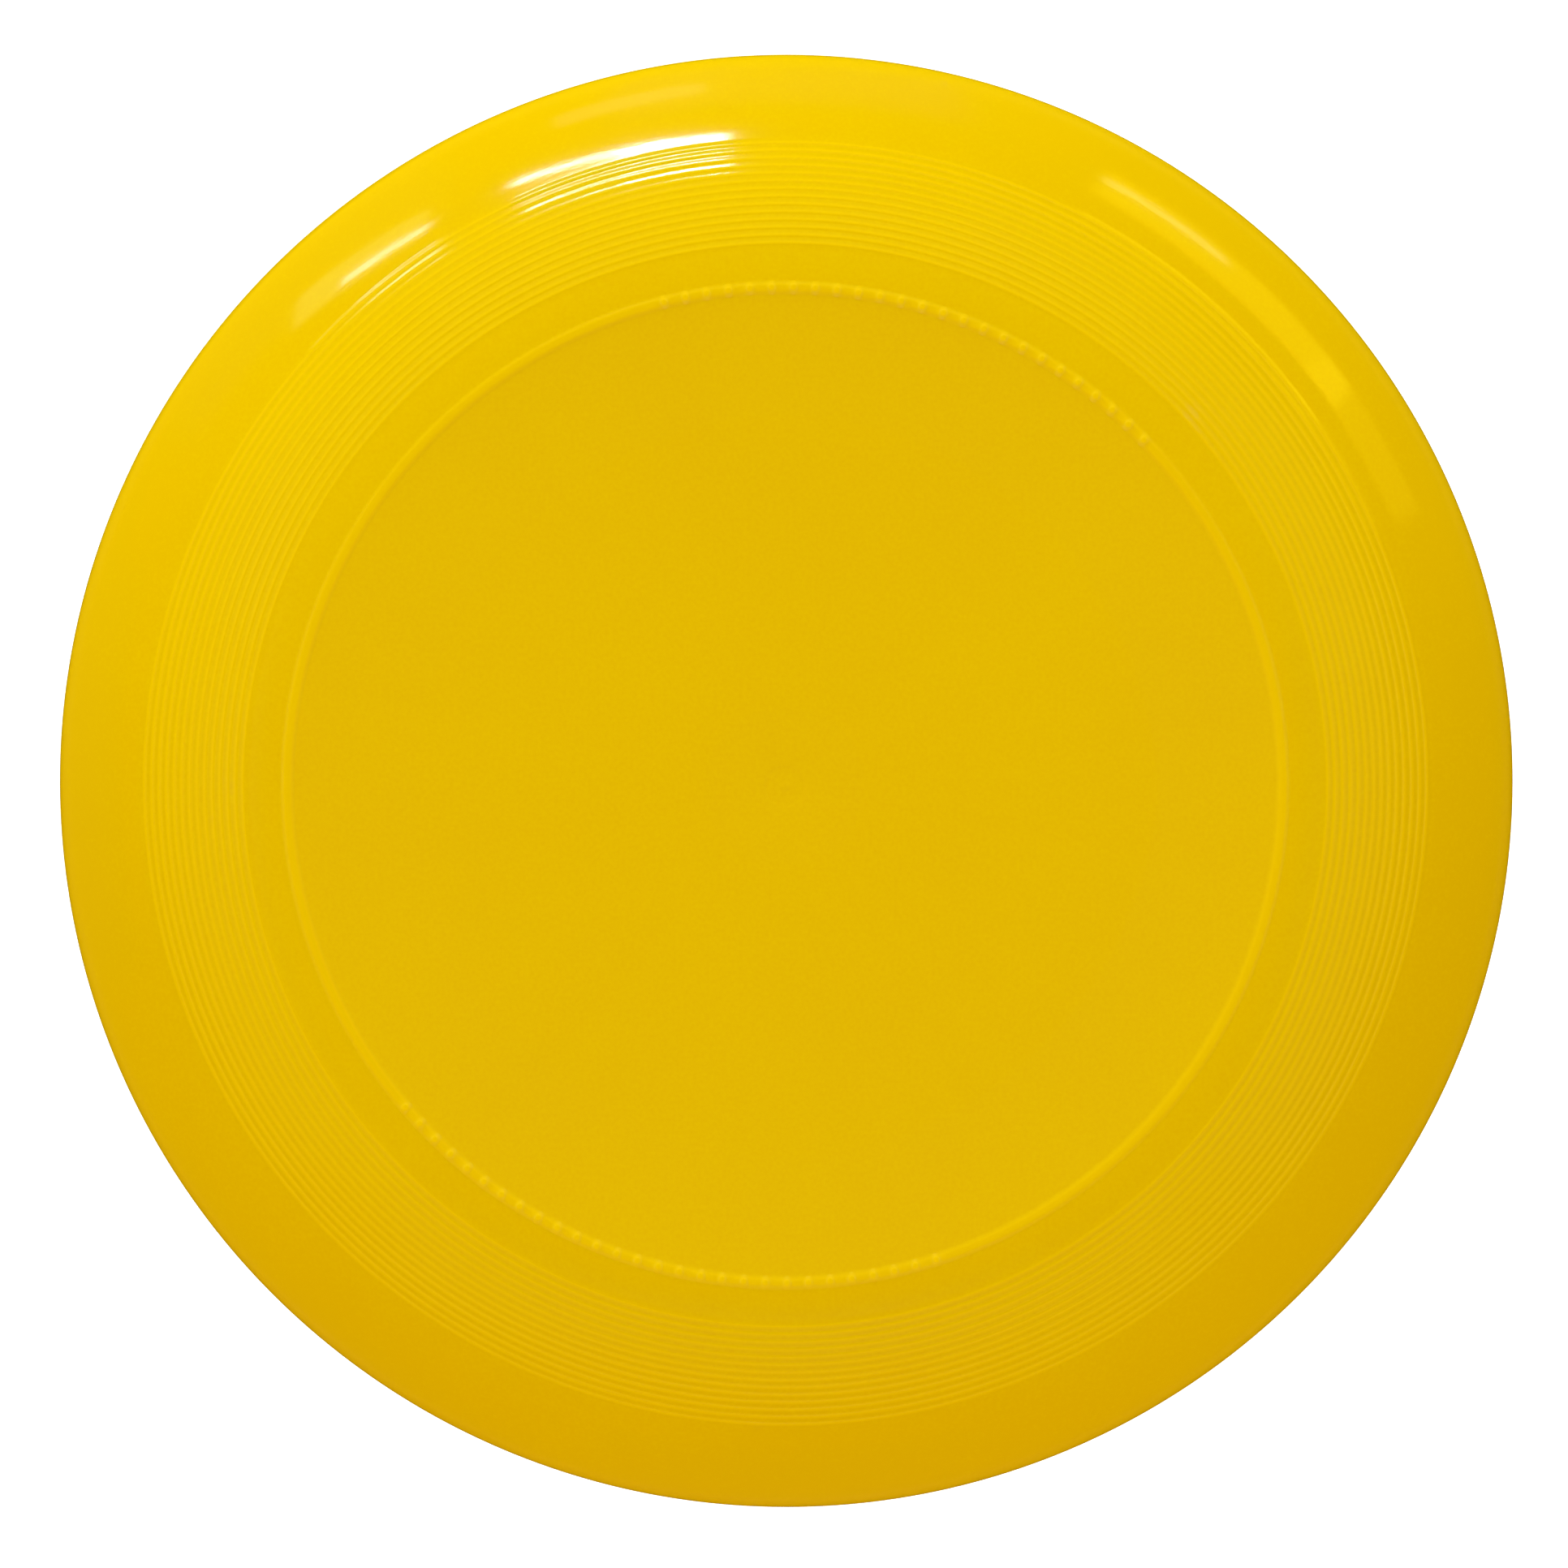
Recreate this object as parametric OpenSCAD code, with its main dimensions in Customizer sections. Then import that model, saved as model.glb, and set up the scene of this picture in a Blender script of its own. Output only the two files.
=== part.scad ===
// A flying disc, moulded in one piece: a flat plate, a falling shoulder with fine
// ridges, and a deep rounded rim around a hollow underside.
// The origin is the centre of the face that the rim stands on, with +Z up.

/* [Disc] */
// Diameter at the widest line of the rim
disc_d = 273; // [220:1:330]
// Height from the face that the rim stands on to the top of the pips
disc_h = 32; // [26.5:0.1:40]

/* [Plate] */
// Thickness of the flat plate
plate_t = 1.9; // [1.4:0.1:2.6]

/* [Shoulder] */
// Width of the shoulder, from the edge of the band out to the widest line
shoulder_w = 43.6; // [36:0.1:54]
// Slope with which the shoulder leaves the band, in degrees
shoulder_angle = 5; // [0:1:8]
// Thickness of the wall where the shoulder runs into the nose
shoulder_t = 2.6; // [1.8:0.1:4]
// Radius of the rounded nose above the widest line
nose_r = 8; // [5:0.5:10]
// Height of the widest line
nose_z = 9; // [6:0.5:12]

/* [Ridges] */
// Number of ridges around the shoulder
ridge_count = 14; // [1:1:18]
// Distance from the edge of the band to the crest of the first ridge
ridge_gap = 6.6; // [2:0.1:10]
// Distance between one crest and the next, measured across the disc
ridge_pitch = 1.458; // [1.2:0.001:1.8]
// Width of one ridge at its foot
ridge_w = 1.1; // [0.6:0.1:1.1]
// Height of a ridge above the shoulder
ridge_h = 0.08; // [0.06:0.01:0.3]
// Where the crest of a ridge lies, as a share of its width from its inner foot
ridge_crest = 0.3; // [0.2:0.05:0.8]

/* [Band] */
// Width of the raised band around the plate, at its foot
band_w = 3.2; // [2.6:0.1:6]
// Height of the band above the plate
band_h = 0.2; // [0.1:0.05:0.6]
// Width of the slope on each side of the band
band_slope_w = 0.8; // [0.1:0.1:0.8]

/* [Pips] */
// Diameter of a pip at its foot, on the band
pip_d = 1.8; // [1.2:0.1:2]
// Diameter of a pip at its top
pip_top_d = 1; // [0.4:0.1:1.4]
// Height of a pip above the band
pip_h = 0.15; // [0.1:0.05:0.5]
// Angle between one pip and the next, in degrees
pip_step = 2.5; // [2:0.5:4]
// Number of pips in the row across the back of the disc
back_pips = 25; // [1:1:40]
// Number of pips in the row across the front of the disc
front_pips = 28; // [1:1:40]
// Turn of both rows around the disc, in degrees
pip_turn = -16; // [-90:1:90]

/* [Gate mark] */
// Radius of the shallow dish at the centre of the plate
gate_r = 4; // [2:0.5:10]
// Radius of the nub left at the middle of the dish
nub_r = 1; // [0.5:0.1:1.5]
// Depth of the dish
gate_depth = 0.05; // [0.05:0.05:0.4]

/* [Rim] */
// Thickness of the rim at its mouth, from the inner wall to the widest line
rim_w = 6.5; // [5.2:0.1:9]
// Distance by which the outside of the rim curves in below the widest line
lip_in = 3; // [1:0.1:3.5]
// Radius of the inner corner of the rim's lower edge
lip_r = 0.8; // [0.4:0.1:1.5]
// Lean of the inner wall from upright, in degrees
wall_draft = 1; // [0.5:0.5:3]
// Radius of the hollow corner between the inner wall and the underside of the shoulder
root_r = 5; // [2:0.5:7]

/* [Hidden] */
$fn = 240;

// Straight pieces in each round stretch of the section
gap_steps = 4;
nose_steps = 10;
corner_steps = 6;
under_steps = 20;

disc_r = disc_d / 2;
band_z = disc_h - pip_h;
plate_z = band_z - band_h;
ceiling_z = plate_z - plate_t;
band_out_r = disc_r - shoulder_w;
band_in_r = band_out_r - band_w;
first_crest_r = band_out_r + ridge_gap;
valley_w = ridge_pitch - ridge_w;
first_foot_r = first_crest_r - ridge_crest * ridge_w;
last_foot_r = first_foot_r + (ridge_count - 1) * ridge_pitch + ridge_w;
mouth_r = disc_r - rim_w;

// The shoulder falls along a large arc, which leaves the band's edge at the shoulder's
// angle and runs into the nose, a small arc that ends upright at the widest line. The
// underside falls along a large arc of its own into the corner above the inner wall.

// Centre of a large arc that starts at the band's edge, at height start_z
function large_centre(radius, start_z) =
    [band_out_r - radius * sin(shoulder_angle), start_z - radius * cos(shoulder_angle)];

// Slope at which a large arc runs into the small one around small_centre
function meeting_slope(centre, small_centre) =
    atan2(small_centre.x - centre.x, small_centre.y - centre.y);

// Points on an arc around a centre from one slope to another, without the first point
function arc(centre, radius, from, to, steps) =
    [for (i = [1:steps]) let (slope = from + (to - from) * i / steps)
        [centre.x + radius * sin(slope), centre.y + radius * cos(slope)]];

// The shoulder's arc, from the height and the width that it and the nose span together
nose_centre = [disc_r - nose_r, nose_z];
span_w = nose_centre.x - band_out_r;
span_h = plate_z - nose_z;
outer_r = (pow(span_w, 2) + pow(span_h, 2) - pow(nose_r, 2))
    / (2 * (span_h * cos(shoulder_angle) - span_w * sin(shoulder_angle) - nose_r));
outer_centre = large_centre(outer_r, plate_z);
nose_slope = meeting_slope(outer_centre, nose_centre);

// The underside's arc, under the plate's thickness at the band and shoulder_t at the nose
inner_r = outer_r - (shoulder_t - plate_t * cos(nose_slope))
    / (1 - cos(nose_slope - shoulder_angle));
inner_centre = large_centre(inner_r, ceiling_z);

// The corner's centre, root_r from the leaning wall and from the underside's arc
lean = tan(wall_draft);
root_reach = mouth_r - root_r / cos(wall_draft) - inner_centre.x;
root_half = root_reach * lean + inner_centre.y;
root_square = pow(root_reach, 2) + pow(inner_centre.y, 2) - pow(inner_r - root_r, 2);
root_z = (root_half + sqrt(pow(root_half, 2) - (1 + pow(lean, 2)) * root_square))
    / (1 + pow(lean, 2));
root_centre = [mouth_r - root_r / cos(wall_draft) - root_z * lean, root_z];
root_slope = meeting_slope(inner_centre, root_centre);

// Height of the shoulder, without its ridges, at a radius
function shoulder_z(r) = outer_centre.y + sqrt(pow(outer_r, 2) - pow(r - outer_centre.x, 2));

// Slope of the shoulder at a radius
function shoulder_slope(r) = asin((r - outer_centre.x) / outer_r);

// Section of the dish and nub at the centre, from the axis outwards
gate_section = [
    [0, plate_z],
    [nub_r - gate_depth, plate_z],
    [nub_r, plate_z - gate_depth],
    [gate_r - gate_depth, plate_z - gate_depth],
    [gate_r, plate_z]
];

// Section of the raised band
band_section = [
    [band_in_r, plate_z],
    [band_in_r + band_slope_w, band_z],
    [band_out_r - band_slope_w, band_z],
    [band_out_r, plate_z]
];

// Section of the plain stretch from the band to one valley short of the first ridge
gap_section = arc(outer_centre, outer_r, shoulder_angle, shoulder_slope(first_foot_r - valley_w),
    gap_steps);

// Section of one ridge from its inner foot, as shares of its width and height
ridge_shape = [[0, 0], [ridge_crest / 2, 0.6], [ridge_crest, 1], [(1 + ridge_crest) / 2, 0.6],
    [1, 0]];

// Section of the row of ridges
ridges_section = [for (i = [0:ridge_count - 1]) for (p = ridge_shape)
    let (r = first_foot_r + i * ridge_pitch + p.x * ridge_w)
        [r, shoulder_z(r) + p.y * ridge_h]];

// Section of the smooth shoulder outside the ridges, and of the nose
nose_section = concat(
    arc(outer_centre, outer_r, shoulder_slope(last_foot_r), nose_slope, nose_steps),
    arc(nose_centre, nose_r, nose_slope, 90, nose_steps)
);

// Section of the rim below the widest line, down to the face it stands on
rim_section = [for (i = [1:nose_steps]) let (turn = 90 * i / nose_steps)
    [disc_r - lip_in * (1 - cos(turn)), nose_z * (1 - sin(turn))]];

// Section of the rounded inner corner of the lower edge, up to the foot of the inner wall
lip_section = [for (i = [0:corner_steps]) let (turn = (90 - wall_draft) * i / corner_steps)
    [mouth_r + lip_r * (1 - sin(turn)), lip_r * (1 - cos(turn))]];

// Section of the hollow from the top of the inner wall, along its ceiling, to the axis
hollow_section = concat(
    [root_centre + root_r * [cos(wall_draft), sin(wall_draft)]],
    arc(root_centre, root_r, 90 - wall_draft, root_slope, corner_steps),
    arc(inner_centre, inner_r, root_slope, shoulder_angle, under_steps),
    [[0, ceiling_z]]
);

// The plate, shoulder and rim, as one turned section
module turned_body() {
    rotate_extrude()
        polygon(concat(gate_section, band_section, gap_section, ridges_section,
            nose_section, rim_section, lip_section, hollow_section));
}

// One pip, a cone that carries on down through the band to the plate's level
module pip() {
    flare = (pip_d - pip_top_d) / pip_h;
    cylinder(h = band_h + pip_h, d1 = pip_d + flare * band_h, d2 = pip_top_d, $fn = 24);
}

// A row of pips along the band, with its middle in one direction from the axis
module pip_row(count, direction) {
    for (i = [0:count - 1])
        rotate(direction + (i - (count - 1) / 2) * pip_step)
            translate([(band_in_r + band_out_r) / 2, 0, plate_z])
                pip();
}

// The whole moulding
module disc() {
    color([0.96, 0.78, 0.03]) {
        turned_body();
        pip_row(back_pips, 90 + pip_turn);
        pip_row(front_pips, 270 + pip_turn);
    }
}

disc();
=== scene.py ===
"""A flying disc, moulded in one piece, lying plate up on a pale studio table."""

import logging
import math
from dataclasses import dataclass
from enum import Enum
from typing import Sequence

import bpy
from mathutils import Matrix, Vector


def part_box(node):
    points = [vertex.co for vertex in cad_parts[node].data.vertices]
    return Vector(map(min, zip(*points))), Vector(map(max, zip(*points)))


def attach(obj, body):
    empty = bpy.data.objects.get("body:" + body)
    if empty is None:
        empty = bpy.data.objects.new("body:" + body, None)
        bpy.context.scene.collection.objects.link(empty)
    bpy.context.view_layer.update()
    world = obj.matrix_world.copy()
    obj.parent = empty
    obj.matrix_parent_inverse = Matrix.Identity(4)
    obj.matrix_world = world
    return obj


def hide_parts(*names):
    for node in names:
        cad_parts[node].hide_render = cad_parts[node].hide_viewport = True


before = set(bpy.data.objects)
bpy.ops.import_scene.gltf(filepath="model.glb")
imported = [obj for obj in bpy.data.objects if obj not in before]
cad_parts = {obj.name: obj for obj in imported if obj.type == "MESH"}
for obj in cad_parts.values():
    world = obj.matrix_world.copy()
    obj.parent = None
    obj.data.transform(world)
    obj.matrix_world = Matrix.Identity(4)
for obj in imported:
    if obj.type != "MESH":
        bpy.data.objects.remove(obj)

LOG = logging.getLogger("flying_disc")
MM = 0.001
WHITE = (1.0, 1.0, 1.0, 1.0)

# How far the moulding's outside stays within the plain solid's
INSET = 0.01 * MM
# Points nearer to one another than this are one point
MERGE_GAP = 0.001 * MM


class MathKind(Enum):
    """The number operations that the finishes use."""

    ADD = "ADD"
    SUBTRACT = "SUBTRACT"
    MULTIPLY = "MULTIPLY"
    MINIMUM = "MINIMUM"
    COSINE = "COSINE"


class Value:
    """A number that varies over a surface, on which plain maths can be written."""

    def __init__(self, shader: "Shader", socket: bpy.types.NodeSocket) -> None:
        """Wrap an output socket.

        Args:
            shader: The shader whose node tree the socket is in.
            socket: The output that carries the number.
        """
        self.shader = shader
        self.socket = socket

    def _with(self, kind: MathKind, first: "Value | float", second: "Value | float") -> "Value":
        """Add one Math node.

        Args:
            kind: The operation.
            first: The left operand.
            second: The right operand.

        Returns:
            The node's result.
        """
        return self.shader.value("ShaderNodeMath", {"operation": kind.value}, {0: first, 1: second})

    def __add__(self, other: "Value | float") -> "Value":
        """Return self + other."""
        return self._with(MathKind.ADD, self, other)

    def __radd__(self, other: float) -> "Value":
        """Return other + self."""
        return self._with(MathKind.ADD, other, self)

    def __sub__(self, other: "Value | float") -> "Value":
        """Return self - other."""
        return self._with(MathKind.SUBTRACT, self, other)

    def __rsub__(self, other: float) -> "Value":
        """Return other - self."""
        return self._with(MathKind.SUBTRACT, other, self)

    def __mul__(self, other: "Value | float") -> "Value":
        """Return self * other."""
        return self._with(MathKind.MULTIPLY, self, other)

    def __rmul__(self, other: float) -> "Value":
        """Return other * self."""
        return self._with(MathKind.MULTIPLY, other, self)

    def at_most(self, other: "Value | float") -> "Value":
        """Return the smaller of self and other."""
        return self._with(MathKind.MINIMUM, self, other)

    def cosine(self) -> "Value":
        """Return the cosine of self, an angle in radians."""
        return self.shader.value("ShaderNodeMath", {"operation": MathKind.COSINE.value}, {0: self})


class Shader:
    """One material's node tree, built a node at a time."""

    def __init__(self, name: str) -> None:
        """Make an empty material.

        Args:
            name: The material's name.
        """
        self.material = bpy.data.materials.new(name)
        self.material.use_nodes = True
        self.tree = self.material.node_tree
        self.tree.nodes.clear()

    def node(self, kind: str, settings: dict | None = None, inputs: dict | None = None) -> bpy.types.Node:
        """Add a node, make its settings, then fill its sockets.

        Args:
            kind: The node's type.
            settings: Attributes of the node, such as an operation.
            inputs: Socket name or index to a Value, a socket, or a plain value.

        Returns:
            The node.
        """
        node = self.tree.nodes.new(kind)
        for key, setting in (settings or {}).items():
            setattr(node, key, setting)
        for key, given in (inputs or {}).items():
            source = given.socket if isinstance(given, Value) else given
            if isinstance(source, bpy.types.NodeSocket):
                self.tree.links.new(source, node.inputs[key])
            else:
                node.inputs[key].default_value = source
        return node

    def value(
        self,
        kind: str,
        settings: dict | None = None,
        inputs: dict | None = None,
        output: int | str = 0,
    ) -> Value:
        """Add a node as node() does, and return one of its outputs.

        Args:
            kind: The node's type.
            settings: As for node().
            inputs: As for node().
            output: Name or index of the output.

        Returns:
            The output, ready for maths.
        """
        return Value(self, self.node(kind, settings, inputs).outputs[output])

    def mix(self, share: Value, low: Sequence[float] | Value, high: Sequence[float] | Value) -> Value:
        """Mix two colours.

        Args:
            share: How much of the second colour there is.
            low: The colour where share is 0.
            high: The colour where share is 1.

        Returns:
            The mixed colour.
        """
        return self.value("ShaderNodeMix", {"data_type": "RGBA"}, {0: share, 6: low, 7: high}, output=2)

    def band(self, source: Value, low: float, high: float) -> Value:
        """Ramp smoothly from 0 to 1.

        Args:
            source: The number to read.
            low: Where the ramp leaves 0.
            high: Where it reaches 1; below low, the ramp falls instead.

        Returns:
            The ramp's value.
        """
        ends = (low, high, 0.0, 1.0) if low < high else (high, low, 1.0, 0.0)
        inputs = dict(zip((1, 2, 3, 4), ends))
        return self.value("ShaderNodeMapRange", {"interpolation_type": "SMOOTHSTEP"}, {0: source, **inputs})

    def noise(self, vector: Value, scale: float, detail: float = 2.0, roughness: float = 0.5) -> Value:
        """Add a noise pattern.

        Args:
            vector: Where to read it.
            scale: How many cells there are in a metre.
            detail: How many finer layers it has.
            roughness: How strong the finer layers are.

        Returns:
            The pattern, around one half.
        """
        settings = {"noise_dimensions": "3D"}
        inputs = {"Vector": vector, "Scale": scale, "Detail": detail, "Roughness": roughness}
        return self.value("ShaderNodeTexNoise", settings, inputs)


@dataclass(frozen=True)
class Polyethylene:
    """Yellow moulded polyethylene: satin on the plate, glossier from the band outwards.

    Cells are counted to the metre, depths are in metres, and shares and the strengths of the painted
    highlight on the raised tops run from 0 to 1.
    """

    name: str = "yellow_polyethylene"
    colour: tuple[float, float, float, float] = (0.82, 0.52, 0.0, 1.0)
    deep_colour: tuple[float, float, float, float] = (0.79, 0.47, 0.0, 1.0)
    # Colour of the painted highlight on the tops of the ridges, band and pips
    top_highlight_colour: tuple[float, float, float, float] = (0.90, 0.57, 0.0, 1.0)
    mottle_cells: float = 28.0
    mottle_share: float = 0.6
    streak_cells: float = 9.0
    streak_share: float = 0.3
    speckle_cells: float = 1300.0
    speckle_share: float = 1.6
    # Painted shade: how much darker and more orange the colour gets from the first ridge out to the rim
    rim_shade_share: float = 0.6
    scuff_cells: float = 55.0
    scuff_share: float = 0.25
    scuff_edge: tuple[float, float] = (0.70, 0.78)
    # Strengths of the painted highlight on the ridge crests, the band and the pips
    ridge_crest_highlight: float = 0.6
    band_top_highlight: float = 0.6
    pip_top_highlight: float = 0.7
    plate_roughness: float = 0.25
    shoulder_roughness: float = 0.08
    mottle_roughness: float = 0.06
    scuff_roughness: float = 0.12
    grain_cells: float = 2600.0
    grain_depth: float = 0.012 * MM
    shoulder_grain: float = 0.2
    lathe_lines: float = 2200.0
    lathe_dashes: float = 30.0
    lathe_depth: float = 0.004 * MM
    refraction: float = 1.5

    def make(self, moulding: "Moulding") -> bpy.types.Material:
        """Build the material.

        Args:
            moulding: The disc, for where its plate, band, ridges and pips are.

        Returns:
            The material.
        """
        shader = Shader(self.name)
        place = shader.value("ShaderNodeTexCoord", output="Object")
        flat = shader.value("ShaderNodeVectorMath", {"operation": "MULTIPLY"}, {0: place, 1: (1, 1, 0)})
        radius = shader.value("ShaderNodeVectorMath", {"operation": "LENGTH"}, {0: flat}, output="Value")
        ray = shader.value("ShaderNodeVectorMath", {"operation": "NORMALIZE"}, {0: flat})
        plate = shader.band(radius, moulding.band_out_r, moulding.band_in_r)
        mottle = shader.noise(place, self.mottle_cells, 3.0)
        scuffs = shader.band(shader.noise(place, self.scuff_cells, 3.0, 0.7), *self.scuff_edge)

        streaks = shader.noise(ray, self.streak_cells, 4.0, 0.6)
        speckle = shader.noise(place, self.speckle_cells, 2.0)
        # Darker and more orange from the first ridge out to the rim: painted shade of the sloping shoulder
        # and rim
        rim_painted_shade = shader.band(radius, moulding.first_crest_r, moulding.disc_r)
        deep = (
            mottle * self.mottle_share
            + streaks * self.streak_share
            + scuffs * self.scuff_share
            + (speckle - 0.5) * self.speckle_share
            + rim_painted_shade * self.rim_shade_share
        )
        # The deep colour mixes the random mottle, streaks, scuffs and speckle with the painted rim shade
        colour = shader.mix(deep.at_most(1.0), self.colour, self.deep_colour)
        # Paler tops of the ridges, band and pips: a painted highlight
        colour = shader.mix(self._tops(shader, place, radius, moulding), colour, self.top_highlight_colour)

        roughness = (
            plate * (self.plate_roughness - self.shoulder_roughness)
            + self.shoulder_roughness
            + (mottle - 0.5) * self.mottle_roughness
            + scuffs * self.scuff_roughness
        )
        bump = shader.node(
            "ShaderNodeBump",
            {},
            {"Strength": 1.0, "Distance": 1.0, "Height": self._relief(shader, place, ray, radius, plate)},
        )
        surface = shader.node(
            "ShaderNodeBsdfPrincipled",
            {},
            {
                "Base Color": colour,
                "Roughness": roughness,
                "Normal": bump.outputs[0],
                "IOR": self.refraction,
            },
        )
        shader.node("ShaderNodeOutputMaterial", {}, {"Surface": surface.outputs[0]})
        return shader.material

    def _relief(self, shader: Shader, place: Value, ray: Value, radius: Value, plate: Value) -> Value:
        """Raise the fine grain, and the broken rings that the mould's turning left.

        Args:
            shader: The shader to add to.
            place: The place on the disc.
            ray: Its direction from the axis.
            radius: Its distance from the axis.
            plate: 1 on the plate and 0 from the band outwards.

        Returns:
            The height of the relief, in metres.
        """
        grain = shader.noise(place, self.grain_cells, 1.0)
        along = shader.value(
            "ShaderNodeVectorMath", {"operation": "SCALE"}, {0: ray, "Scale": self.lathe_dashes}
        )
        across = shader.value("ShaderNodeCombineXYZ", {}, {2: radius * self.lathe_lines})
        rings = shader.value("ShaderNodeVectorMath", {"operation": "ADD"}, {0: along, 1: across})
        lathe = shader.noise(rings, 1.0, 1.0)
        spread = plate * (1 - self.shoulder_grain) + self.shoulder_grain
        return grain * spread * self.grain_depth + lathe * self.lathe_depth

    def _tops(self, shader: Shader, place: Value, radius: Value, moulding: "Moulding") -> Value:
        """Find the tops of the ridges, the band and the pips, which get a painted highlight.

        Args:
            shader: The shader to add to.
            place: The place on the disc.
            radius: Its distance from the axis.
            moulding: The disc.

        Returns:
            How strong the painted highlight is, from 0 to 1.
        """
        first, pitch = moulding.first_crest_r, moulding.ridge_pitch
        last = first + (moulding.ridge_count - 1) * pitch
        wave = ((radius - first) * (2 * math.pi / pitch)).cosine()
        ridged = shader.band(radius, first - pitch / 2, first) * shader.band(radius, last + pitch / 2, last)
        normal = shader.value("ShaderNodeTexCoord", output="Normal")
        upper = shader.band(shader.value("ShaderNodeSeparateXYZ", {}, {0: normal}, output="Z"), 0.0, 0.2)
        # Painted highlight on the ridge crests, on the upper side only
        crests = (wave * 0.5 + 0.5) * ridged * upper * self.ridge_crest_highlight
        height = shader.value("ShaderNodeSeparateXYZ", {}, {0: place}, output="Z")
        band = shader.band(height, moulding.plate_z, moulding.band_z) * self.band_top_highlight
        pips = shader.band(height, moulding.band_z, moulding.disc_h) * self.pip_top_highlight
        return crests + band + pips


@dataclass(frozen=True)
class TableTop:
    """A matt white table that glows a little, as a light table does; clear from below."""

    name: str = "white_table"
    colour: tuple[float, float, float, float] = (0.86, 0.86, 0.86, 1.0)
    glow: float = 0.8
    fibre_cells: float = 900.0
    roughness: float = 0.8
    fibre_roughness: float = 0.1

    def make(self) -> bpy.types.Material:
        """Build the material."""
        shader = Shader(self.name)
        place = shader.value("ShaderNodeTexCoord", output="Object")
        fibre = shader.noise(place, self.fibre_cells, 2.0)
        surface = shader.node(
            "ShaderNodeBsdfPrincipled",
            {},
            {
                "Base Color": self.colour,
                "Roughness": fibre * self.fibre_roughness + self.roughness,
                "Specular IOR Level": 0.0,
                "Emission Color": WHITE,
                "Emission Strength": self.glow,
            },
        )
        back = shader.value("ShaderNodeNewGeometry", output="Backfacing")
        clear = shader.node("ShaderNodeBsdfTransparent")
        both = shader.node(
            "ShaderNodeMixShader", {}, {0: back, 1: surface.outputs[0], 2: clear.outputs[0]}
        )
        shader.node("ShaderNodeOutputMaterial", {}, {"Surface": both.outputs[0]})
        return shader.material


class SectionPen:
    """Draws the half section of a turned piece in the XZ plane, with the mesh operators."""

    def __init__(self, name: str, x: float, z: float) -> None:
        """Put down the pen.

        Args:
            name: The new object's name.
            x: Distance from the axis.
            z: Height.
        """
        bpy.ops.object.select_all(action="DESELECT")
        bpy.ops.mesh.primitive_plane_add(size=MM, location=(0, 0, 0))
        self.piece = bpy.context.object
        self.piece.name = name
        bpy.ops.object.mode_set(mode="EDIT")
        bpy.ops.mesh.merge(type="CENTER")
        bpy.ops.transform.translate(value=(x, 0, z))
        self.at = Vector((x, 0, z))

    def line_to(self, x: float, z: float) -> None:
        """Draw a straight edge to a point.

        Args:
            x: Distance from the axis.
            z: Height.
        """
        end = Vector((x, 0, z))
        move = {"value": tuple(end - self.at)}
        bpy.ops.mesh.extrude_vertices_move(TRANSFORM_OT_translate=move)
        self.at = end

    def arc(self, centre: Vector, radius: float, start: float, end: float, steps: int) -> None:
        """Draw an arc of edges.

        Args:
            centre: The arc's centre, as x and z.
            radius: The arc's radius.
            start: Slope at the start, in radians.
            end: Slope at the end.
            steps: How many edges the arc has.
        """
        for i in range(1, steps + 1):
            slope = start + (end - start) * i / steps
            self.line_to(centre.x + radius * math.sin(slope), centre.y + radius * math.cos(slope))

    def turn(self, segments: int) -> bpy.types.Object:
        """Turn the section round the Z axis and close it.

        Args:
            segments: How many flats the full turn has.

        Returns:
            The turned object, in object mode.
        """
        bpy.ops.mesh.select_all(action="SELECT")
        bpy.ops.mesh.spin(steps=segments, angle=2 * math.pi, center=(0, 0, 0), axis=(0, 0, 1))
        bpy.ops.mesh.select_all(action="SELECT")
        bpy.ops.mesh.remove_doubles(threshold=MERGE_GAP)
        bpy.ops.mesh.normals_make_consistent(inside=False)
        bpy.ops.object.mode_set(mode="OBJECT")
        return self.piece


def apply_modifier(piece: bpy.types.Object, kind: str, settings: dict) -> None:
    """Add a modifier and apply it.

    Args:
        piece: The object.
        kind: The modifier's type.
        settings: Its attributes.
    """
    bpy.ops.object.select_all(action="DESELECT")
    piece.select_set(True)
    bpy.context.view_layer.objects.active = piece
    modifier = piece.modifiers.new(kind.lower(), kind)
    for key, setting in settings.items():
        setattr(modifier, key, setting)
    bpy.ops.object.modifier_apply(modifier=modifier.name)


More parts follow.
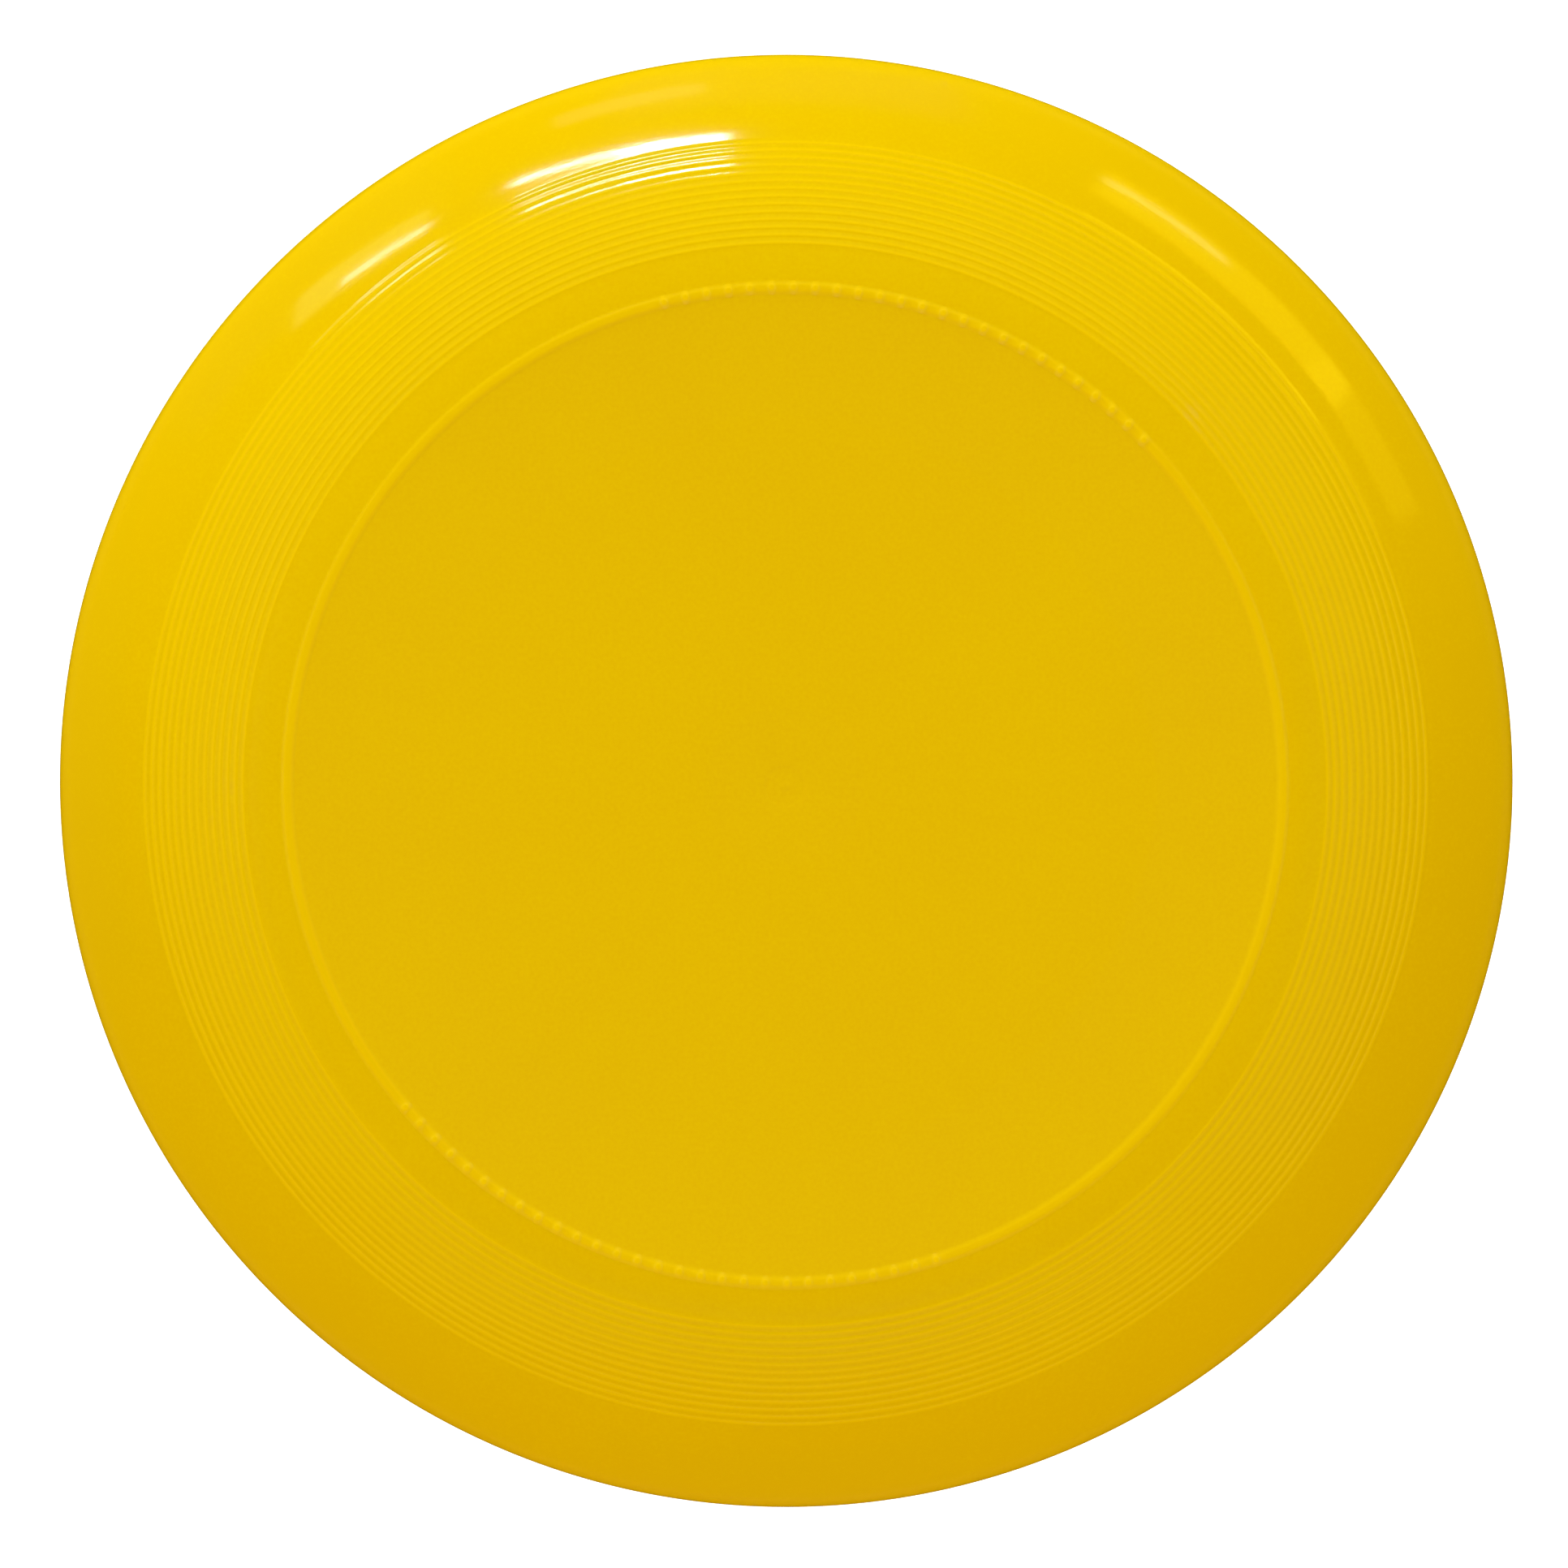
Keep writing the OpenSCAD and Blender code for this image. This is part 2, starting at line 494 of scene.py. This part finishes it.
@dataclass
class PipRows:
    """The two rows of small raised pips on the band; each starts a little way down in it."""

    band_r: float
    foot_z: float
    top_z: float
    foot_r: float = 0.9 * MM
    top_r: float = 0.5 * MM
    top_round: float = 0.15 * MM
    top_round_steps: int = 3
    sunk: float = 0.15 * MM
    step: float = math.radians(2.5)
    turn: float = math.radians(-16)
    counts: tuple[int, int] = (25, 28)
    facets: int = 24

    def build(self) -> bpy.types.Object:
        """Model one pip, copy it along both rows, and join the copies.

        Returns:
            One object that holds every pip.
        """
        bpy.ops.object.select_all(action="DESELECT")
        height = self.top_z - self.foot_z + self.sunk
        flare = (self.foot_r - self.top_r) / (self.top_z - self.foot_z)
        bpy.ops.mesh.primitive_cone_add(
            vertices=self.facets,
            radius1=self.foot_r + flare * self.sunk,
            radius2=self.top_r,
            depth=height,
            location=(self.band_r, 0, self.top_z - height / 2),
        )
        bpy.ops.object.transform_apply(location=True, rotation=True, scale=True)
        first = bpy.context.object
        self._round_top(first)
        copies = [self._copy(first, angle) for angle in self._angles()]
        bpy.data.objects.remove(first)
        bpy.ops.object.select_all(action="DESELECT")
        for copy in copies:
            copy.select_set(True)
        bpy.context.view_layer.objects.active = copies[0]
        bpy.ops.object.join()
        return bpy.context.object

    def _round_top(self, pip: bpy.types.Object) -> None:
        """Bevel the edge around the pip's top.

        Args:
            pip: The pip.
        """
        bpy.ops.object.mode_set(mode="EDIT")
        bpy.ops.mesh.select_all(action="DESELECT")
        bpy.ops.object.mode_set(mode="OBJECT")
        for edge in pip.data.edges:
            ends = [pip.data.vertices[i].co.z for i in edge.vertices]
            edge.select = min(ends) > self.top_z - MERGE_GAP
        bpy.ops.object.mode_set(mode="EDIT")
        bpy.ops.mesh.select_mode(type="EDGE")
        bpy.ops.mesh.bevel(offset=self.top_round, segments=self.top_round_steps)
        bpy.ops.mesh.select_mode(type="VERT")
        bpy.ops.object.mode_set(mode="OBJECT")

    def _angles(self) -> list[float]:
        """List each pip's direction around the disc, in radians."""
        angles = []
        for count, middle in zip(self.counts, (math.pi / 2, 3 * math.pi / 2)):
            angles += [middle + self.turn + (i - (count - 1) / 2) * self.step for i in range(count)]
        return angles

    @staticmethod
    def _copy(first: bpy.types.Object, angle: float) -> bpy.types.Object:
        """Copy a pip and turn the copy's mesh round the disc.

        Args:
            first: The pip to copy.
            angle: How far to turn it, in radians.

        Returns:
            The copy.
        """
        copy = first.copy()
        copy.data = first.data.copy()
        copy.data.transform(Matrix.Rotation(angle, 4, "Z"))
        bpy.context.collection.objects.link(copy)
        return copy


@dataclass
class Moulding:
    """The whole disc: plate, band, ridges, shoulder, nose, rim and hollow.

    The steps are the straight edges in each round stretch of the section, and the rings are
    where the flat stretches are divided, as shares of their width.
    """

    disc_r: float
    disc_h: float
    plate_t: float = 1.9 * MM
    shoulder_w: float = 43.6 * MM
    shoulder_angle: float = math.radians(5)
    shoulder_t: float = 2.6 * MM
    nose_r: float = 8 * MM
    nose_z: float = 9 * MM
    ridge_count: int = 14
    ridge_gap: float = 6.6 * MM
    ridge_pitch: float = 1.458 * MM
    ridge_h: float = 0.08 * MM
    ridge_peak: float = 0.3
    band_w: float = 3.2 * MM
    band_h: float = 0.2 * MM
    band_flank: float = 1.3 * MM
    pip_h: float = 0.15 * MM
    gate_r: float = 4 * MM
    nub_r: float = 1 * MM
    gate_depth: float = 0.05 * MM
    gate_flank: float = 0.6 * MM
    rim_w: float = 6.5 * MM
    lip_in: float = 3 * MM
    lip_r: float = 0.8 * MM
    wall_draft: float = math.radians(1)
    root_r: float = 5 * MM
    gate_steps: int = 4
    band_steps: int = 6
    gap_steps: int = 6
    ridge_steps: int = 10
    shoulder_steps: int = 14
    nose_steps: int = 12
    lip_steps: int = 6
    root_steps: int = 8
    under_steps: int = 16
    plate_rings: tuple[float, ...] = (0.15, 0.4, 0.7, 1.0)
    ceiling_rings: tuple[float, ...] = (0.6, 0.3, 0.1, 0.0)
    segments: int = 360
    smooth_angle: float = math.radians(40)

    def __post_init__(self) -> None:
        """Work out the levels, radii and arcs that follow from the sizes."""
        self.band_z = self.disc_h - self.pip_h
        self.plate_z = self.band_z - self.band_h
        self.ceiling_z = self.plate_z - self.plate_t
        self.band_out_r = self.disc_r - self.shoulder_w
        self.band_in_r = self.band_out_r - self.band_w
        self.mouth_r = self.disc_r - self.rim_w
        self.first_crest_r = self.band_out_r + self.ridge_gap
        self._fit_outer_arcs()
        self._fit_inner_arcs()

    def _large_centre(self, radius: float, start_z: float) -> Vector:
        """Return the centre of a large arc that leaves the band's edge at a height.

        Args:
            radius: The arc's radius.
            start_z: The height at which it starts.
        """
        return Vector((
            self.band_out_r - radius * math.sin(self.shoulder_angle),
            start_z - radius * math.cos(self.shoulder_angle),
        ))

    def _fit_outer_arcs(self) -> None:
        """Fit the shoulder's large arc to the band's edge and the nose."""
        self.nose_centre = Vector((self.disc_r - self.nose_r, self.nose_z))
        span_w = self.nose_centre.x - self.band_out_r
        span_h = self.plate_z - self.nose_z
        fall = span_h * math.cos(self.shoulder_angle) - span_w * math.sin(self.shoulder_angle)
        self.outer_r = (span_w**2 + span_h**2 - self.nose_r**2) / (2 * (fall - self.nose_r))
        self.outer_centre = self._large_centre(self.outer_r, self.plate_z)
        self.nose_slope = self._meeting(self.outer_centre, self.nose_centre)

    def _fit_inner_arcs(self) -> None:
        """Fit the underside's large arc, and the corner above the inner wall."""
        thinner = self.shoulder_t - self.plate_t * math.cos(self.nose_slope)
        self.inner_r = self.outer_r - thinner / (1 - math.cos(self.nose_slope - self.shoulder_angle))
        self.inner_centre = self._large_centre(self.inner_r, self.ceiling_z)
        lean = math.tan(self.wall_draft)
        wall = self.mouth_r - self.root_r / math.cos(self.wall_draft)
        reach = wall - self.inner_centre.x
        half = reach * lean + self.inner_centre.y
        square = reach**2 + self.inner_centre.y**2 - (self.inner_r - self.root_r) ** 2
        root_z = (half + math.sqrt(half**2 - (1 + lean**2) * square)) / (1 + lean**2)
        self.root_centre = Vector((wall - root_z * lean, root_z))
        self.root_slope = self._meeting(self.inner_centre, self.root_centre)

    @staticmethod
    def _meeting(centre: Vector, small_centre: Vector) -> float:
        """Return the slope at which a large arc runs into a small one.

        Args:
            centre: The large arc's centre.
            small_centre: The small arc's centre.
        """
        gap = small_centre - centre
        return math.atan2(gap.x, gap.y)

    def shoulder_z(self, radius: float) -> float:
        """Return the shoulder's height, without ridges, at a radius."""
        return self.outer_centre.y + math.sqrt(self.outer_r**2 - (radius - self.outer_centre.x) ** 2)

    def shoulder_slope(self, radius: float) -> float:
        """Return the shoulder's slope at a radius."""
        return math.asin((radius - self.outer_centre.x) / self.outer_r)

    def build(self) -> bpy.types.Object:
        """Draw the section, turn it, and join the pips to it.

        Returns:
            The finished disc.
        """
        pen = SectionPen("disc_moulding", 0, self.plate_z)
        self._draw_gate(pen)
        self._draw_band(pen)
        self._draw_ridges(pen)
        self._draw_rim(pen)
        self._draw_hollow(pen)
        disc = pen.turn(self.segments)
        self._add_pips(disc)
        self._smooth(disc)
        return disc

    def _step(self, pen: SectionPen, width: float, rise: float, steps: int) -> None:
        """Draw a rounded step, flat at both ends.

        Args:
            pen: The pen.
            width: How far out the step goes.
            rise: How far up it goes; below zero, down.
            steps: How many edges it has.
        """
        start = pen.at.copy()
        for i in range(1, steps + 1):
            share = i / steps
            lift = (1 - math.cos(math.pi * share)) / 2
            pen.line_to(start.x + width * share, start.z + rise * lift)

    def _draw_gate(self, pen: SectionPen) -> None:
        """Draw the nub, the shallow dish around it, and the plate.

        Args:
            pen: The pen, at the middle of the nub.
        """
        dish_z = self.plate_z - self.gate_depth
        pen.line_to((self.nub_r - self.gate_flank) / 2, self.plate_z)
        pen.line_to(self.nub_r - self.gate_flank, self.plate_z)
        self._step(pen, self.gate_flank, -self.gate_depth, self.gate_steps)
        pen.line_to(self.gate_r / 2, dish_z)
        pen.line_to(self.gate_r - self.gate_flank, dish_z)
        self._step(pen, self.gate_flank, self.gate_depth, self.gate_steps)
        for share in self.plate_rings:
            pen.line_to(self.gate_r + (self.band_in_r - self.gate_r) * share, self.plate_z)

    def _draw_band(self, pen: SectionPen) -> None:
        """Draw the raised band.

        Args:
            pen: The pen, at the band's inner foot.
        """
        self._step(pen, self.band_flank, self.band_h, self.band_steps)
        pen.line_to((self.band_in_r + self.band_out_r) / 2, self.band_z)
        pen.line_to(self.band_out_r - self.band_flank, self.band_z)
        self._step(pen, self.band_flank, -self.band_h, self.band_steps)

    def _draw_ridges(self, pen: SectionPen) -> None:
        """Draw the shoulder from the band to the last ridge's outer foot.

        Args:
            pen: The pen, at the band's outer foot.
        """
        first_foot_r = self.first_crest_r - self.ridge_pitch * self.ridge_peak
        first_slope = self.shoulder_slope(first_foot_r)
        pen.arc(self.outer_centre, self.outer_r, self.shoulder_angle, first_slope, self.gap_steps)
        for i in range(1, self.ridge_count * self.ridge_steps + 1):
            share = i / self.ridge_steps
            radius = first_foot_r + share * self.ridge_pitch
            lift = self.ridge_h * self._ridge_share(share % 1)
            pen.line_to(radius, self.shoulder_z(radius) + lift)

    def _ridge_share(self, share: float) -> float:
        """Return how high a ridge is, as a share of its full height.

        Args:
            share: How far across the ridge, from its inner foot to its outer one.
        """
        if share < self.ridge_peak:
            turn = share / self.ridge_peak
        else:
            turn = (1 - share) / (1 - self.ridge_peak)
        return (1 - math.cos(math.pi * turn)) / 2

    def _draw_rim(self, pen: SectionPen) -> None:
        """Draw the smooth shoulder, the nose, and the rim down to the lip.

        Args:
            pen: The pen, at the last ridge's outer foot.
        """
        slope = self.shoulder_slope(pen.at.x)
        pen.arc(self.outer_centre, self.outer_r, slope, self.nose_slope, self.shoulder_steps)
        pen.arc(self.nose_centre, self.nose_r, self.nose_slope, math.pi / 2, self.nose_steps)
        for i in range(1, self.nose_steps + 1):
            turn = math.pi / 2 * i / self.nose_steps
            pen.line_to(
                self.disc_r - self.lip_in * (1 - math.cos(turn)),
                self.nose_z * (1 - math.sin(turn)),
            )
        for i in range(self.lip_steps + 1):
            turn = (math.pi / 2 - self.wall_draft) * i / self.lip_steps
            pen.line_to(
                self.mouth_r + self.lip_r * (1 - math.sin(turn)),
                self.lip_r * (1 - math.cos(turn)),
            )

    def _draw_hollow(self, pen: SectionPen) -> None:
        """Draw the inner wall, its upper corner, and the ceiling back to the axis.

        Args:
            pen: The pen, at the foot of the inner wall.
        """
        upright = math.pi / 2 - self.wall_draft
        wall_top = self.root_centre + self.root_r * Vector((math.sin(upright), math.cos(upright)))
        pen.line_to(wall_top.x, wall_top.y)
        pen.arc(self.root_centre, self.root_r, upright, self.root_slope, self.root_steps)
        pen.arc(self.inner_centre, self.inner_r, self.root_slope, self.shoulder_angle, self.under_steps)
        for share in self.ceiling_rings:
            pen.line_to(self.band_out_r * share, self.ceiling_z)

    def _add_pips(self, disc: bpy.types.Object) -> None:
        """Join the rows of pips to the band.

        Args:
            disc: The turned disc.
        """
        rows = PipRows((self.band_in_r + self.band_out_r) / 2, self.band_z, self.disc_h)
        pips = rows.build()
        apply_modifier(disc, "BOOLEAN", {"operation": "UNION", "object": pips, "solver": "EXACT"})
        bpy.data.objects.remove(pips)

    def _smooth(self, disc: bpy.types.Object) -> None:
        """Shade the disc smooth, with its few sharp edges kept.

        Args:
            disc: The disc.
        """
        bpy.ops.object.select_all(action="DESELECT")
        disc.select_set(True)
        bpy.context.view_layer.objects.active = disc
        bpy.ops.object.shade_smooth_by_angle(angle=self.smooth_angle)


@dataclass(frozen=True)
class Lamp:
    """A flat studio light that faces the disc.

    The azimuth runs clockwise from the back of the disc and the elevation up from the table,
    in degrees. A roll below zero lowers the end that lies further round anticlockwise.
    """

    name: str
    azimuth: float
    elevation: float
    distance: float
    width: float
    height: float
    radiance: float
    colour: tuple[float, float, float] = (1.0, 1.0, 1.0)
    roll: float = 0.0
    mirrored: bool = True
    lights: bool = True
    aim: tuple[float, float, float] = (0.0, 0.0, 0.02)

    def place(self) -> bpy.types.Object:
        """Hang the light, turned towards the point that it lights.

        Returns:
            The light's object.
        """
        light = bpy.data.lights.new(self.name, "AREA")
        light.shape = "RECTANGLE"
        light.size, light.size_y = self.width, self.height
        light.energy = math.pi * self.radiance * self.width * self.height
        light.color = self.colour
        lamp = bpy.data.objects.new(self.name, light)
        bpy.context.collection.objects.link(lamp)
        azimuth, elevation = math.radians(self.azimuth), math.radians(self.elevation)
        out = Vector((
            math.sin(azimuth) * math.cos(elevation),
            math.cos(azimuth) * math.cos(elevation),
            math.sin(elevation),
        ))
        roll = Matrix.Rotation(math.radians(self.roll), 3, "Z").to_quaternion()
        lamp.rotation_mode = "QUATERNION"
        lamp.rotation_quaternion = out.to_track_quat("Z", "Y") @ roll
        lamp.location = Vector(self.aim) + out * self.distance
        lamp.visible_camera = False
        lamp.visible_glossy = self.mirrored
        lamp.visible_diffuse = self.lights
        return lamp


@dataclass
class Studio:
    """The pale table, the soft lights and the camera."""

    target_z: float
    camera_distance: float = 0.9
    camera_back: float = math.radians(1.43)
    camera_right: float = math.radians(0.37)
    lens: float = 109.9
    shift: tuple[float, float] = (-0.001, -0.00035)
    table_r: float = 6.0
    table_sides: int = 96
    table_drop: float = 0.05 * MM
    sky: float = 0.0
    backdrop: float = 1.0

    def lamps(self) -> list[Lamp]:
        """List the studio's lights.

        After its name, each has its azimuth, elevation, distance, width, height and radiance.

        Returns:
            Four large boxes around the disc, four low ones that tint its rim, and the strips
            and glows that show only as reflections.
        """
        ring = [
            Lamp(f"box_{turn}", turn, 50, 1.5, 1.8, 0.7, 2.09, (1.0, green, 0.8), mirrored=False)
            for turn, green in ((0, 1.03), (90, 0.92), (180, 0.99), (270, 0.97))
        ]
        sides = [
            Lamp("low_key", 0, 8, 1.5, 0.8, 0.5, 9.1, (0.78, 1.0, 0.8), mirrored=False),
            Lamp("left_key", -45, 8, 1.5, 0.8, 0.5, 4.6, (0.75, 1.0, 0.8), mirrored=False),
            Lamp("front_fill", 180, 8, 1.5, 0.8, 0.5, 1.5, (1.0, 0.15, 0.1), mirrored=False),
            Lamp("left_fill", -90, 8, 1.5, 0.8, 0.5, 0.8, (1.0, 0.55, 0.5), mirrored=False),
        ]
        strips = [
            Lamp("strip", -15.6, 25.5, 1.0, 0.315, 0.022, 33.0, roll=-9, lights=False),
            Lamp("strip_end", -10.6, 26.6, 1.0, 0.16, 0.036, 20.0, roll=-9, lights=False),
            Lamp("left_strip", -38.0, 21.4, 1.0, 0.15, 0.022, 11.0, roll=-17, lights=False),
            Lamp("left_glow", -40.5, 19.0, 1.0, 0.24, 0.12, 1.7, (0.6, 1.0, 0.3), -17, lights=False),
            Lamp("right_strip", 34.5, 16.0, 1.0, 0.21, 0.024, 3.0, (1.0, 1.0, 0.6), lights=False),
            Lamp("right_glow", 42, 17.8, 1.0, 0.48, 0.16, 2.3, (1.0, 0.85, 0.02), lights=False),
            Lamp("right_tail", 60, 17.8, 1.0, 0.26, 0.16, 1.1, (1.0, 0.85, 0.02), lights=False),
            Lamp("low_band", -13.5, 10, 1.0, 0.22, 0.07, 0.6, (1.0, 1.0, 0.7), lights=False),
        ]
        return ring + sides + strips

    def build(self) -> None:
        """Lay the table, hang the lights, and set the sky and the camera."""
        self._lay_table()
        for lamp in self.lamps():
            lamp.place()
        self._set_sky()
        self._set_camera()
        bpy.context.scene.view_settings.view_transform = "Standard"

    def _lay_table(self) -> None:
        """Lay a round table top just under the disc."""
        bpy.ops.object.select_all(action="DESELECT")
        bpy.ops.mesh.primitive_circle_add(
            vertices=self.table_sides,
            radius=self.table_r,
            fill_type="NGON",
            location=(0, 0, -self.table_drop),
        )
        table = bpy.context.object
        table.name = "table"
        table.data.materials.append(TableTop().make())
        table.visible_glossy = False

    def _set_sky(self) -> None:
        """Set a sky that gives no light, and that the camera sees as a white backdrop."""
        world = bpy.data.worlds.new("sky")
        bpy.context.scene.world = world
        world.use_nodes = True
        tree = world.node_tree
        background = tree.nodes["Background"]
        seen = tree.nodes.new("ShaderNodeLightPath")
        strength = tree.nodes.new("ShaderNodeMix")
        strength.inputs["A"].default_value = self.sky
        strength.inputs["B"].default_value = self.backdrop
        tree.links.new(seen.outputs["Is Camera Ray"], strength.inputs["Factor"])
        tree.links.new(strength.outputs[0], background.inputs["Strength"])
        background.inputs["Color"].default_value = WHITE
        world.cycles_visibility.glossy = False

    def _set_camera(self) -> None:
        """Set the camera almost straight above the disc, with the disc's back at the top."""
        camera = bpy.data.cameras.new("camera")
        camera.lens = self.lens
        camera.shift_x, camera.shift_y = self.shift
        eye = bpy.data.objects.new("camera", camera)
        bpy.context.collection.objects.link(eye)
        target = Vector((0, 0, self.target_z))
        out = Vector((math.tan(self.camera_right), math.tan(self.camera_back), 1)).normalized()
        right = Vector((0, 1, 0)).cross(out).normalized()
        turned = Matrix((right, out.cross(right), out)).transposed().to_4x4()
        eye.matrix_world = Matrix.Translation(target + out * self.camera_distance) @ turned
        bpy.context.scene.camera = eye


def main() -> None:
    """Build the disc in place of its plain solid, then the studio around it."""
    logging.basicConfig(level=logging.INFO, format="%(message)s")
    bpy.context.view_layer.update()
    _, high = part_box("disc")
    moulding = Moulding(disc_r=high[0] - INSET, disc_h=high[2] - INSET)
    disc = moulding.build()
    disc.data.materials.clear()
    disc.data.materials.append(Polyethylene().make(moulding))
    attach(disc, "root")
    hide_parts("disc")
    LOG.info("disc_moulding: %d faces", len(disc.data.polygons))
    Studio(moulding.nose_z).build()
    LOG.info("studio: table, lights and camera")


if __name__ == "__main__":
    main()
